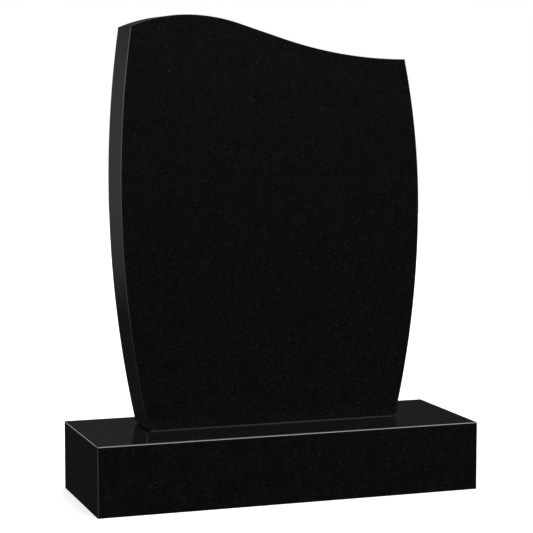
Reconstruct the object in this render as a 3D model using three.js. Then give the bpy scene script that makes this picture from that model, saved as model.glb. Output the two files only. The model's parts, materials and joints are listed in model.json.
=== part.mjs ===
// A granite headstone: an upright tablet with a wave-shaped top and bowed sides, on a plain
// rectangular base. Millimetres, +Z up. The origin is the centre of the base's underside,
// +X runs along the width and the tablet's polished face looks along -Y.

import * as THREE from "three";
import { ConvexGeometry } from "three/addons/geometries/ConvexGeometry.js";

// Both stones
const arris = 1.5;              // width of the narrow bevel ground along every sharp edge

// Tablet
const tabletHeight = 620;       // from the base to the crest of the wave
const tabletThickness = 75;
const footWidth = 400;          // where the tablet meets the base
const footCornerRadius = 6;     // of the face's lower corners, inside the arris

// Tablet's sides: each bows out from the foot to its widest place, then draws in to the top
const leftBow = 40;             // how far the widest place stands out past the foot
const rightBow = 37;
const leftDrawIn = 17;          // how far the top corner lies inside the widest place
const rightDrawIn = 25;
const widestBelowCorner = 234;  // the widest place, measured down from the side's top corner

// Tablet's top: a crest, a straight fall to the right, and a valley that levels out
const crestInset = 105;         // crest, measured in from the left side's widest place
const crestLeftRadius = 225;
const crestRightRadius = 260;
const fallAngle = 17.5;         // degrees below level
const fallLength = 73;          // straight stretch between crest and valley
const valleyRadius = 655;

// Base
const baseHeight = 105;
const sideMargin = 100;         // base left showing on each side of the tablet's foot
const frontMargin = 88;
const backMargin = 52;

// How finely the curves are cut into flats
const segmentsPerArc = 24;
const segmentsAlongTop = 96;

const footHalf = footWidth / 2;
const baseWidth = footWidth + 2 * sideMargin;
const baseDepth = frontMargin + tabletThickness + backMargin;

const graniteTablet = new THREE.MeshStandardMaterial({ color: 0x17181a, roughness: 0.12, metalness: 0 });
const graniteBase = new THREE.MeshStandardMaterial({ color: 0x1a1b1d, roughness: 0.12, metalness: 0 });

// Height of the tablet's top at a place x across the width.
function topHeight(x) {
  const crestX = crestInset - leftBow - footHalf;
  const fall = THREE.MathUtils.degToRad(fallAngle);
  const fallStartX = crestX + crestRightRadius * Math.sin(fall);
  const fallStartZ = tabletHeight - crestRightRadius * (1 - Math.cos(fall));
  const fallEndX = fallStartX + fallLength * Math.cos(fall);
  const fallEndZ = fallStartZ - fallLength * Math.sin(fall);
  if (x < fallStartX) {
    const radius = x < crestX ? crestLeftRadius : crestRightRadius;
    return tabletHeight - radius + Math.sqrt(radius ** 2 - (x - crestX) ** 2);
  }
  if (x < fallEndX) {
    return fallStartZ - (x - fallStartX) * Math.tan(fall);
  }
  const valleyX = fallEndX + valleyRadius * Math.sin(fall);
  const valleyCentreZ = fallEndZ + valleyRadius * Math.cos(fall);
  return valleyCentreZ - Math.sqrt(valleyRadius ** 2 - (x - valleyX) ** 2);
}

// One bowed side, as distances out from the tablet's middle. Two arcs meet upright at the
// widest place: one comes up from the foot and the other goes on to the top corner.
function bowedSide(bow, drawIn, cornerHeight) {
  const widest = footHalf + bow;
  const widestHeight = cornerHeight - widestBelowCorner;
  const lowerRadius = (widestHeight ** 2 + bow ** 2) / (2 * bow);
  const upperRadius = (widestBelowCorner ** 2 + drawIn ** 2) / (2 * drawIn);
  const lowerCentre = widest - lowerRadius;
  const upperCentre = widest - upperRadius;
  const footRadius = footCornerRadius + arris;
  const footRise = widestHeight - footRadius;
  const footCentre = lowerCentre + Math.sqrt((lowerRadius - footRadius) ** 2 - footRise ** 2);
  return {
    widestHeight, lowerRadius, upperRadius, lowerCentre, upperCentre, footRadius, footCentre,
    footAngle: Math.atan2(footRise, footCentre - lowerCentre),
    upperAngle: Math.asin(widestBelowCorner / upperRadius),
  };
}

// The tablet's front view, drawn anticlockwise from the left end of its foot.
function tabletOutline() {
  const leftX = leftDrawIn - leftBow - footHalf;
  const rightX = footHalf + rightBow - rightDrawIn;
  const left = bowedSide(leftBow, leftDrawIn, topHeight(leftX));
  const right = bowedSide(rightBow, rightDrawIn, topHeight(rightX));
  const shape = new THREE.Shape();
  shape.moveTo(-left.footCentre, 0);
  shape.lineTo(right.footCentre, 0);
  shape.absarc(right.footCentre, right.footRadius, right.footRadius, -Math.PI / 2, -right.footAngle, false);
  shape.absarc(right.lowerCentre, right.widestHeight, right.lowerRadius, -right.footAngle, 0, false);
  shape.absarc(right.upperCentre, right.widestHeight, right.upperRadius, 0, right.upperAngle, false);
  for (let i = 1; i <= segmentsAlongTop; i++) {
    const x = THREE.MathUtils.lerp(rightX, leftX, i / segmentsAlongTop);
    shape.lineTo(x, topHeight(x));
  }
  shape.absarc(-left.upperCentre, left.widestHeight, left.upperRadius, Math.PI - left.upperAngle, Math.PI, false);
  shape.absarc(-left.lowerCentre, left.widestHeight, left.lowerRadius, Math.PI, Math.PI + left.footAngle, false);
  shape.absarc(-left.footCentre, left.footRadius, left.footRadius, Math.PI + left.footAngle, 1.5 * Math.PI, false);
  return shape;
}

// An upright slab of the tablet's outline with an arris around both faces, centred on its thickness.
function tabletGeometry() {
  const straight = tabletThickness - 2 * arris;
  const geometry = new THREE.ExtrudeGeometry(tabletOutline(), {
    depth: straight,
    curveSegments: segmentsPerArc / 2,
    bevelEnabled: true,
    bevelSegments: 1,
    bevelThickness: arris,
    bevelSize: arris,
    bevelOffset: -arris,
  });
  geometry.translate(0, 0, -straight / 2);
  geometry.rotateX(Math.PI / 2);
  return geometry;
}

// A block that stands on z = 0, sharp along its underside, with an arris on its four upright
// edges and around its top.
function baseGeometry() {
  const corners = [];
  for (const sx of [-1, 1]) {
    for (const sy of [-1, 1]) {
      const x = sx * baseWidth / 2;
      const y = sy * baseDepth / 2;
      const insideX = x - sx * arris;
      const insideY = y - sy * arris;
      for (const z of [0, baseHeight - arris]) {
        corners.push(new THREE.Vector3(x, insideY, z), new THREE.Vector3(insideX, y, z));
      }
      corners.push(new THREE.Vector3(insideX, insideY, baseHeight));
    }
  }
  return new ConvexGeometry(corners);
}

const base = new THREE.Mesh(baseGeometry(), graniteBase);
base.name = "base";

const tablet = new THREE.Mesh(tabletGeometry(), graniteTablet);
tablet.name = "tablet";
tablet.position.set(0, (frontMargin - backMargin) / 2, baseHeight);

const headstone = new THREE.Group();
headstone.name = "headstone";
headstone.add(base, tablet);

export default headstone;
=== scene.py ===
# A headstone of polished black granite: a plain base, and on it an upright tablet with a
# wave-shaped top and bowed sides. Metres, +Z up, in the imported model's own frame.

import json
import math

import bmesh
import bpy
import numpy as np
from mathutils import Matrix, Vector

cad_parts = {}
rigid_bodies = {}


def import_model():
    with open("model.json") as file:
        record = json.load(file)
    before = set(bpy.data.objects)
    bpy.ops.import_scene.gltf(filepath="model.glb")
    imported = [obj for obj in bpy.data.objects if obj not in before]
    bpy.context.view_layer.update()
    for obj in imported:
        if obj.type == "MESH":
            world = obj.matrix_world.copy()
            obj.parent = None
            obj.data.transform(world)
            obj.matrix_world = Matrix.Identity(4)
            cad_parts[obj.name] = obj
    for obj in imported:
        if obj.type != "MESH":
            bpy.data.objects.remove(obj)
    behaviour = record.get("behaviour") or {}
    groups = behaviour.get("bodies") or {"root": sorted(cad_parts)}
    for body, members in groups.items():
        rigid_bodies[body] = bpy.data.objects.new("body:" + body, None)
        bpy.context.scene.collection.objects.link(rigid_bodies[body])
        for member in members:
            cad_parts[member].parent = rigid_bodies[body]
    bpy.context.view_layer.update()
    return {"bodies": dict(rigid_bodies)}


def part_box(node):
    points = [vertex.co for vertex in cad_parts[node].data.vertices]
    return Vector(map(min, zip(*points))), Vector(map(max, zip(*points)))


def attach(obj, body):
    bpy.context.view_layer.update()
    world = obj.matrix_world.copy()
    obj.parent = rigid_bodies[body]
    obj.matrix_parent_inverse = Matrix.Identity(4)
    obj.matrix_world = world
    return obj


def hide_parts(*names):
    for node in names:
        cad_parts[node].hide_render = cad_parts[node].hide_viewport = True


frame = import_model()
body, = frame["bodies"]


# The base
# A block of black granite, sawn to size and polished on its top and four sides. A narrow arris is
# ground along the top and upright edges. The underside stays as sawn, with sharp edges, and the
# whole block stands on it.

base_low, base_high = (np.array(corner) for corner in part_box("base"))
base_steps_across = 48
base_steps_deep = 16

arris = 0.0015            # width of the ground edge, on both stones
arris_swell = 0.08        # how far it rounds outwards, as a share of its width
arris_steps = 3
sharp_edge = math.radians(20)
same_place = 1.5e-6       # points nearer to each other than this are one

polished, eased, honed, rough = range(4)    # the finishes, numbered as a stone's material slots


def arris_section():
    """A ground edge seen end-on: each point's depth below one face, and below the next.

    One depth grows evenly from nothing to the arris and the other shrinks, and half a sine wave
    taken off both rounds the edge a little."""
    along = np.linspace(0, 1, arris_steps + 1)
    swell = arris_swell * arris * np.sin(np.pi * along)
    return arris * along - swell, arris * (1 - along) - swell


def base_plan():
    """The base seen from above, anticlockwise from its front right corner and back to it.

    Returns a rectangle one arris inside the block, and at each of its points the way out to the
    block's own outline: straight out along a side, and round the ground edge at a corner, where
    the rectangle's point is repeated. Also returns which of the steps are ground edge."""
    low, high = base_low[:2] + arris, base_high[:2] - arris
    corners = np.array([(high[0], low[1]), high, (low[0], high[1]), low, (high[0], low[1])])
    side_steps = (base_steps_deep, base_steps_across) * 2
    below_this, below_next = arris_section()
    edge = np.stack([arris - below_next, below_this - arris], axis=1)
    inside, way_out, is_edge = [], [], []
    for side, steps in enumerate(side_steps):
        turn = math.radians(90 * side)
        turned = np.array([(math.cos(turn), math.sin(turn)), (-math.sin(turn), math.cos(turn))])
        straight = np.linspace(corners[side], corners[side + 1], steps + 1)
        inside += [np.repeat(straight[:1], arris_steps + 1, axis=0), straight[1:-1]]
        way_out += [edge @ turned, np.repeat([(arris, 0)] @ turned, steps - 1, axis=0)]
        is_edge += [np.full(arris_steps, True), np.full(steps, False)]
    inside, way_out = np.concatenate(inside), np.concatenate(way_out)
    return np.append(inside, inside[:1], 0), np.append(way_out, way_out[:1], 0), np.concatenate(is_edge)


def patch(bottom, right, top, left):
    """A grid filled in between four edges: bottom and top run one way, left and right the other.

    Each point is the blend of bottom and top, plus the blend of left and right, less the blend of
    the four corners, which the first two would otherwise count twice."""
    u = np.linspace(0, 1, len(bottom))[None, :, None]
    v = np.linspace(0, 1, len(left))[:, None, None]
    up = (1 - v) * bottom[None] + v * top[None]
    across = (1 - u) * left[:, None] + u * right[:, None]
    corners = (1 - v) * ((1 - u) * bottom[0] + u * bottom[-1]) + v * ((1 - u) * top[0] + u * top[-1])
    return up + across - corners


def stone(name, grids):
    """One closed mesh from grids of points, each with the finish of its faces.

    A face joins two neighbours in one row to the two beside them in the next. Grids that meet
    share their edge points, which are merged."""
    points, faces, finishes, first = [], [], [], 0
    for grid, finish in grids:
        rows, columns = grid.shape[:2]
        at = first + np.arange(rows * columns).reshape(rows, columns)
        corners = np.stack([at[:-1, :-1], at[:-1, 1:], at[1:, 1:], at[1:, :-1]], axis=-1)
        points.append(grid.reshape(-1, 3))
        faces.append(corners.reshape(-1, 4))
        finishes.append(np.broadcast_to(finish, (rows - 1, columns - 1)).ravel())
        first += rows * columns
    mesh = bpy.data.meshes.new(name)
    mesh.from_pydata(np.concatenate(points).tolist(), [], np.concatenate(faces).tolist())
    mesh.polygons.foreach_set("material_index", np.concatenate(finishes).astype(np.int32))
    shell = bmesh.new()
    shell.from_mesh(mesh)
    bmesh.ops.remove_doubles(shell, verts=shell.verts, dist=same_place)
    shell.to_mesh(mesh)
    shell.free()
    mesh.shade_smooth()
    mesh.set_sharp_from_angle(angle=sharp_edge)
    piece = bpy.data.objects.new(name, mesh)
    bpy.context.scene.collection.objects.link(piece)
    return piece


def base_grids():
    """The base: its plan carried up from the underside to the top, and a flat patch over each end."""
    inside, way_out, is_edge = base_plan()
    below_side, below_top = arris_section()
    depth = np.concatenate([[arris, 0], below_side])
    height = np.concatenate([[base_low[2]] * 2, base_high[2] - below_top])
    plan = inside + (1 - depth[:, None, None] / arris) * way_out
    walls = np.dstack([plan, np.broadcast_to(height[:, None], plan.shape[:2])])
    finish = np.tile(np.where(is_edge, eased, polished), (len(height) - 1, 1))
    finish[0] = rough
    finish[2:] = eased
    low, high = base_low + (arris, arris, 0), base_high - (arris, arris, 0)
    x = np.linspace(low[0], high[0], base_steps_across + 1)
    y = np.linspace(low[1], high[1], base_steps_deep + 1)
    flat = np.dstack(np.meshgrid(x, y) + [np.zeros((len(y), len(x)))])
    top = flat + (0, 0, high[2])
    underside = flat[::-1] + (0, 0, low[2])
    return [(walls, finish), (top, polished), (underside, rough)]


def linear(code, alpha=1.0):
    """An sRGB hex colour as linear red, green, blue and alpha, by the two-part sRGB curve."""
    parts = np.array([int(code[i:i + 2], 16) for i in (1, 3, 5)]) / 255
    parts = np.where(parts > 0.04045, ((parts + 0.055) / 1.055) ** 2.4, parts / 12.92)
    return (*parts.tolist(), alpha)


def add(tree, kind, inputs=None, **settings):
    """Adds a node. Settings are its properties, and inputs its sockets: a value, or what links in."""
    node = tree.nodes.new("ShaderNode" + kind)
    for name, value in settings.items():
        setattr(node, name, value)
    for socket, value in (inputs or {}).items():
        if isinstance(value, bpy.types.NodeSocket):
            tree.links.new(value, node.inputs[socket])
        else:
            node.inputs[socket].default_value = value
    return node


crystal_size = 0.0011      # a little coarser than the real ones, of 0.5 to 1 mm, so that they show
fine_crystal_size = 0.0008
fleck_spacing = 0.0065
fleck_radius = 0.0008
fleck_core = 0.4           # how much of a fleck is fully pale, as a share of its radius
fleck_gap = 0.7            # share of the places for a fleck that have none
cloud_size = 0.022
cloud_depth = 0.18         # how far the clouding lightens and darkens, as a share
cloud_detail = 3.0
noise_low, noise_high = 0.3, 0.7    # between these lies nearly all of a noise node's output
refractive_index = 1.52

polished_colours = ("#040404", "#29292b", "#66676a")    # pyroxene, feldspar and flecks
honed_colours = ("#141414", "#38383a", "#6f7073")
rough_colours = ("#b6b7b9", "#c2c3c5", "#d0d1d3")


def black_granite(name, block, colours, roughness, relief):
    """Black granite, a gabbro: interlocking crystals of black pyroxene and dark grey feldspar, a few
    pale flecks, and a faint clouding a few centimetres across. Block is where in the quarry's
    rock the stone was cut, so that no two stones have the same crystals. Roughness runs from one
    value to another with the crystals, and relief is how deep a rough surface is pitted."""
    pyroxene, feldspar, fleck = (linear(code) for code in colours)
    material = bpy.data.materials.new(name)
    material.use_nodes = True
    tree = material.node_tree
    tree.nodes.clear()
    place = add(tree, "TexCoord").outputs["Object"]
    place = add(tree, "Mapping", {"Vector": place, "Location": block}).outputs["Vector"]
    coarse = add(tree, "TexVoronoi", {"Vector": place, "Scale": 1 / crystal_size}).outputs["Color"]
    fine = add(tree, "TexVoronoi", {"Vector": place, "Scale": 1 / fine_crystal_size}).outputs["Color"]
    coarse = add(tree, "SeparateColor", {"Color": coarse}).outputs["Red"]
    fine = add(tree, "SeparateColor", {"Color": fine}).outputs["Green"]
    crystals = add(tree, "Math", {0: coarse, 1: fine}, operation="MULTIPLY").outputs[0]
    cloud = add(tree, "TexNoise", {
        "Vector": place, "Scale": 1 / cloud_size, "Detail": cloud_detail}).outputs["Fac"]
    cloud = add(tree, "MapRange", {
        "Value": cloud, "From Min": noise_low, "From Max": noise_high,
        "To Min": 1 - cloud_depth, "To Max": 1 + cloud_depth}).outputs["Result"]
    share = add(tree, "Math", {0: crystals, 1: cloud}, operation="MULTIPLY", use_clamp=True).outputs[0]
    grey = add(tree, "Mix", {"Factor": share, "A": pyroxene, "B": feldspar}, data_type="RGBA")
    spots = add(tree, "TexVoronoi", {"Vector": place, "Scale": 1 / fleck_spacing})
    rim = fleck_radius / fleck_spacing
    near = add(tree, "MapRange", {
        "Value": spots.outputs["Distance"], "From Min": rim, "From Max": fleck_core * rim}).outputs["Result"]
    chance = add(tree, "SeparateColor", {"Color": spots.outputs["Color"]}).outputs["Red"]
    chance = add(tree, "MapRange", {"Value": chance, "From Min": fleck_gap}).outputs["Result"]
    spot = add(tree, "Math", {0: near, 1: chance}, operation="MULTIPLY").outputs[0]
    colour = add(tree, "Mix", {"Factor": spot, "A": grey.outputs["Result"], "B": fleck}, data_type="RGBA")
    gloss = add(tree, "MapRange", {"Value": coarse, "To Min": roughness[0], "To Max": roughness[1]})
    inputs = {"Base Color": colour.outputs["Result"], "Roughness": gloss.outputs["Result"],
              "IOR": refractive_index}
    if relief:
        inputs["Normal"] = add(tree, "Bump", {"Height": fine, "Distance": relief}).outputs["Normal"]
    shader = add(tree, "BsdfPrincipled", inputs)
    add(tree, "OutputMaterial", {"Surface": shader.outputs["BSDF"]})
    return material


def finishes(stone_name, block):
    """The four finishes of one stone: polished faces, edges eased and polished by hand and so a
    little less bright, corners honed to a matt dark grey, and stone left rough from the saw or
    the grinder, which scatters light and looks pale."""
    def finish(kind, colours, roughness, relief=0.0):
        return black_granite(kind + "_granite_" + stone_name, block, colours, roughness, relief)

    return [
        finish("polished", polished_colours, roughness=(0.04, 0.07)),
        finish("eased", polished_colours, roughness=(0.12, 0.16)),
        finish("honed", honed_colours, roughness=(0.50, 0.60)),
        finish("rough", rough_colours, roughness=(0.60, 0.75), relief=0.0002),
    ]


base = stone("polished_base", base_grids())
for finish in finishes("base", block=(3.1, 1.7, 0.4)):
    base.data.materials.append(finish)
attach(base, body)
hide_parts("base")


# The tablet
# An upright slab of the same granite, polished all round, with an arris ground along every edge.
# Its sides bow out from the foot, and its top runs up to a crest on the left, falls to the right
# and levels out in a shallow valley. It stands on the base by its own weight.

tablet_low, tablet_high = (np.array(corner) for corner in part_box("tablet"))
foot_half = 0.200           # half the width where it meets the base
foot_corner_radius = 0.0075
left_draw_in = 0.017        # how far the top corner lies inside the side's widest place
right_draw_in = 0.025
widest_below_corner = 0.234
crest_inset = 0.105         # crest, measured in from the left side's widest place
crest_left_radius = 0.225
crest_right_radius = 0.260
fall_angle = math.radians(17.5)
fall_length = 0.073
valley_radius = 0.655
top_arris_share = 0.3       # width of the finer arris along the top, as a share of the others'
tablet_steps_across = 96
tablet_steps_round_foot = 8
rough_steps_round_foot = 2  # how far round each corner the foot's rough arris goes
tablet_steps_low = 72
tablet_steps_high = 48


def top_height(x):
    """Height of the wave above the foot at a place across the width.

    Two arcs share the crest's highest point, a straight line leaves the second at the fall's
    angle, and an arc that turns the other way carries it on level."""
    height = tablet_high[2] - tablet_low[2]
    crest_x = tablet_low[0] + crest_inset
    fall_start_x = crest_x + crest_right_radius * math.sin(fall_angle)
    fall_start_z = height - crest_right_radius * (1 - math.cos(fall_angle))
    fall_end_x = fall_start_x + fall_length * math.cos(fall_angle)
    fall_end_z = fall_start_z - fall_length * math.sin(fall_angle)
    valley_x = fall_end_x + valley_radius * math.sin(fall_angle)
    valley_z = fall_end_z + valley_radius * math.cos(fall_angle)
    radius = np.where(x < crest_x, crest_left_radius, crest_right_radius)
    crest = height - radius + np.sqrt(np.maximum(radius ** 2 - (x - crest_x) ** 2, 0))
    fall = fall_start_z - (x - fall_start_x) * math.tan(fall_angle)
    valley = valley_z - np.sqrt(valley_radius ** 2 - (x - valley_x) ** 2)
    return np.select([x < fall_start_x, x < fall_end_x], [crest, fall], valley)


def arc(centre, radius, start, end, steps):
    """Points on an arc, from one angle to another, as distance out and height."""
    angle = np.linspace(start, end, steps + 1)
    return np.stack([centre[0] + radius * np.cos(angle), centre[1] + radius * np.sin(angle)], axis=1)


def bowed_side(widest, draw_in):
    """One side from the foot up to its top corner, as distance out from the middle and height.

    Two arcs meet upright at the widest place. The lower one comes up from the foot's corner,
    which a small arc rounds, and the upper one draws in to the top corner. Each arc's radius
    follows from its rise and how far it moves sideways."""
    corner_x = widest - math.copysign(draw_in, widest)
    widest_z = float(top_height(corner_x)) - widest_below_corner
    out = abs(widest)
    bow = out - foot_half
    lower_radius = (widest_z ** 2 + bow ** 2) / (2 * bow)
    upper_radius = (widest_below_corner ** 2 + draw_in ** 2) / (2 * draw_in)
    lower_centre = out - lower_radius
    rise = widest_z - foot_corner_radius
    foot_centre = lower_centre + math.sqrt((lower_radius - foot_corner_radius) ** 2 - rise ** 2)
    meet = -math.atan2(rise, foot_centre - lower_centre)
    top = math.asin(widest_below_corner / upper_radius)
    foot = (foot_centre, foot_corner_radius)
    return np.concatenate([
        arc(foot, foot_corner_radius, -math.pi / 2, meet, tablet_steps_round_foot),
        arc((lower_centre, widest_z), lower_radius, meet, 0, tablet_steps_low)[1:],
        arc((out - upper_radius, widest_z), upper_radius, 0, top, tablet_steps_high)[1:],
    ])


def tablet_edges():
    """The tablet's front view as four edges, each from left to right or from foot to top."""
    right = bowed_side(tablet_high[0], right_draw_in)
    left = bowed_side(tablet_low[0], left_draw_in) * (-1, 1)
    foot = np.linspace(left[0], right[0], tablet_steps_across + 1)
    x = np.linspace(left[-1, 0], right[-1, 0], tablet_steps_across + 1)
    top = np.stack([x, top_height(x)], axis=1)
    return foot, right, top, left


def drawn_in(outline, depth):
    """A closed outline moved inwards, each point of it by its own depth.

    A point moves along the sum of its two steps' outward normals, divided by one plus their dot
    product, which is the mitre where they meet."""
    step = np.diff(outline, axis=0)
    normal = np.stack([step[:, 1], -step[:, 0]], axis=1) / np.linalg.norm(step, axis=1)[:, None]
    before = np.roll(normal, 1, axis=0)
    mitre = (before + normal) / (1 + np.sum(before * normal, axis=1, keepdims=True))
    return outline - depth[:, None] * np.append(mitre, mitre[:1], axis=0)


def tablet_grids():
    """The tablet: its outline carried from the back to the front, and a flat patch on each face.

    Its foot is rough, and so are the arrises there but for the step beside each face. The foot's
    two small corners are honed."""
    foot, right, top, left = tablet_edges()
    outline = np.concatenate([foot[:-1], right[:-1], top[:0:-1], left[::-1]])
    ends = np.cumsum([0] + [len(edge) - 1 for edge in (foot, right, top, left)])
    fineness = np.ones(len(outline))
    fineness[ends[2]:ends[3] + 1] = top_arris_share
    below_face, below_side = (np.outer(depth, fineness) for depth in arris_section())
    y = np.concatenate([tablet_high[1] - below_face, tablet_low[1] + below_face[::-1]])
    rings = np.stack([drawn_in(outline, depth) for depth in (*below_side, *below_side[::-1])])
    rim = np.stack([rings[..., 0], y, rings[..., 1] + tablet_low[2]], axis=-1)
    finish = np.full((len(y) - 1, len(outline) - 1), eased)
    finish[1:-1, :ends[1] + rough_steps_round_foot] = rough
    finish[1:-1, -rough_steps_round_foot:] = rough
    between_arrises = finish[arris_steps]
    between_arrises[ends[1]:] = polished
    between_arrises[ends[1]:ends[1] + tablet_steps_round_foot] = honed
    between_arrises[-tablet_steps_round_foot:] = honed
    bottom, right, top, left = (rim[-1, start:end + 1] for start, end in zip(ends, ends[1:]))
    face = patch(bottom, right, top[::-1], left[::-1])
    back = face * (1, 0, 1) + (0, tablet_high[1], 0)
    return [(rim, finish), (face, polished), (back[:, ::-1], polished)]


tablet = stone("polished_tablet", tablet_grids())
for finish in finishes("tablet", block=(0.9, 4.2, 2.6)):
    tablet.data.materials.append(finish)
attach(tablet, body)
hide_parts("tablet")


# The floor
# A plain matt floor that comes out nearly white. The stone neither mirrors it nor is lit by it, as
# if black card lay round the stone just out of the camera's sight.

white = linear("#ffffff")
floor_radius = 6.0
floor_colour = linear("#ececeb")
floor_roughness = 0.9
floor_glow = 0.50           # light from below, as on a light table, that thins out the shadow


def disc(radius, rings=24, steps=96):
    """A flat disc at height 0: points at even angles on rings whose spacing grows outwards."""
    reach = radius * np.linspace(0, 1, rings + 1)[:, None] ** 2
    angle = np.linspace(0, 2 * np.pi, steps + 1)[None]
    return np.stack([reach * np.cos(angle), reach * np.sin(angle), 0 * reach * angle], axis=-1)


floor = stone("floor", [(disc(floor_radius), 0)])
floor_paint = bpy.data.materials.new("matt_white_floor")
floor_paint.use_nodes = True
floor_shader = floor_paint.node_tree.nodes["Principled BSDF"].inputs
floor_shader["Base Color"].default_value = floor_colour
floor_shader["Roughness"].default_value = floor_roughness
floor_shader["Specular IOR Level"].default_value = 0.0
floor_shader["Emission Color"].default_value = white
floor_shader["Emission Strength"].default_value = floor_glow
floor.data.materials.append(floor_paint)
floor.visible_glossy = False
floor.visible_diffuse = False


# The light
# A dark studio with round soft lights far from the stone. Azimuth is measured from +Y towards +X
# and elevation from the horizon, both in degrees. Each light is full inside its first radius and
# fades out at its second.

room_brightness = 0.018

# The main light draws the line along the base's front edge, and the side light the upright lines
# on the left, which the bounce carries on downwards. The edge light draws the base's left edge.
# The dim card is mirrored in the tablet's left side, the glow behind in the base's top and the
# glow in front in the tablet's face. The back light shows the stone from behind.
lights = {
    "dome": dict(azimuth=0, elevation=90, full=58, none=68, brightness=0.22),
    "overhead light": dict(azimuth=-100, elevation=78, full=9, none=24, brightness=2.2),
    "back light, high on the right": dict(azimuth=35, elevation=42, full=10, none=22, brightness=3.5),
    "main light, above and in front": dict(azimuth=138, elevation=62, full=12, none=20, brightness=7.1),
    "side light, on the left": dict(azimuth=-105, elevation=9, full=3, none=30, brightness=1.8),
    "bounce off a white floor, left": dict(azimuth=-108, elevation=-20, full=4, none=20, brightness=0.35),
    "fill light, in front on the left": dict(azimuth=-150, elevation=22, full=8, none=30, brightness=1.35),
    "edge light, behind on the left": dict(azimuth=-13.5, elevation=11, full=2.5, none=4.5, brightness=1.6),
    "dim card, low behind": dict(azimuth=-10, elevation=-1, full=4.5, none=10, brightness=0.1),
    "dim glow, behind": dict(azimuth=5, elevation=12, full=10, none=22, brightness=0.022),
    "dim glow, in front on the right": dict(azimuth=160, elevation=30, full=10, none=40, brightness=0.07),
}

scene = bpy.context.scene
scene.view_settings.view_transform = "Standard"
studio = bpy.data.worlds.new("studio")
studio.use_nodes = True
scene.world = studio
tree = studio.node_tree
tree.nodes.clear()
way = add(tree, "TexCoord").outputs["Generated"]
light = add(tree, "Value").outputs[0]
light.default_value = room_brightness
for lamp in lights.values():
    azimuth, elevation = math.radians(lamp["azimuth"]), math.radians(lamp["elevation"])
    level = math.cos(elevation)
    towards = (level * math.sin(azimuth), level * math.cos(azimuth), math.sin(elevation))
    nearness = add(tree, "VectorMath", {0: way, 1: towards}, operation="DOT_PRODUCT").outputs["Value"]
    glow = add(tree, "MapRange", {"Value": nearness, "From Min": math.cos(math.radians(lamp["none"])),
                                  "From Max": math.cos(math.radians(lamp["full"])),
                                  "To Max": lamp["brightness"]}, interpolation_type="SMOOTHSTEP")
    light = add(tree, "Math", {0: light, 1: glow.outputs["Result"]}, operation="ADD").outputs[0]
studio_light = add(tree, "Background", {"Color": light})
backdrop = add(tree, "Background", {"Color": white})
seen = add(tree, "LightPath").outputs["Is Camera Ray"]
both = add(tree, "MixShader", {0: seen, 1: studio_light.outputs[0], 2: backdrop.outputs[0]})
add(tree, "OutputWorld", {"Surface": both.outputs[0]})


# The camera
# It stands to the left of the stone, a little lower than its crest, and looks slightly down. Place,
# aim and lens were found by fitting the base's edges and the tablet's outline to the photograph.

view_azimuth = math.radians(-18.976)
view_elevation = math.radians(5.794)
view_distance = 2.7731
aim = np.array([-0.00666, 0.0, 0.34532])
sensor_width = 36.0     # mm
focal_length = 122.6    # mm

towards_camera = np.array([
    math.sin(view_azimuth) * math.cos(view_elevation),
    -math.cos(view_azimuth) * math.cos(view_elevation),
    math.sin(view_elevation),
])
camera = bpy.data.objects.new("camera", bpy.data.cameras.new("camera"))
scene.collection.objects.link(camera)
camera.location = aim + view_distance * towards_camera
camera.rotation_euler = (math.pi / 2 - view_elevation, 0.0, view_azimuth)
camera.data.sensor_width = sensor_width
camera.data.lens = focal_length
scene.camera = camera
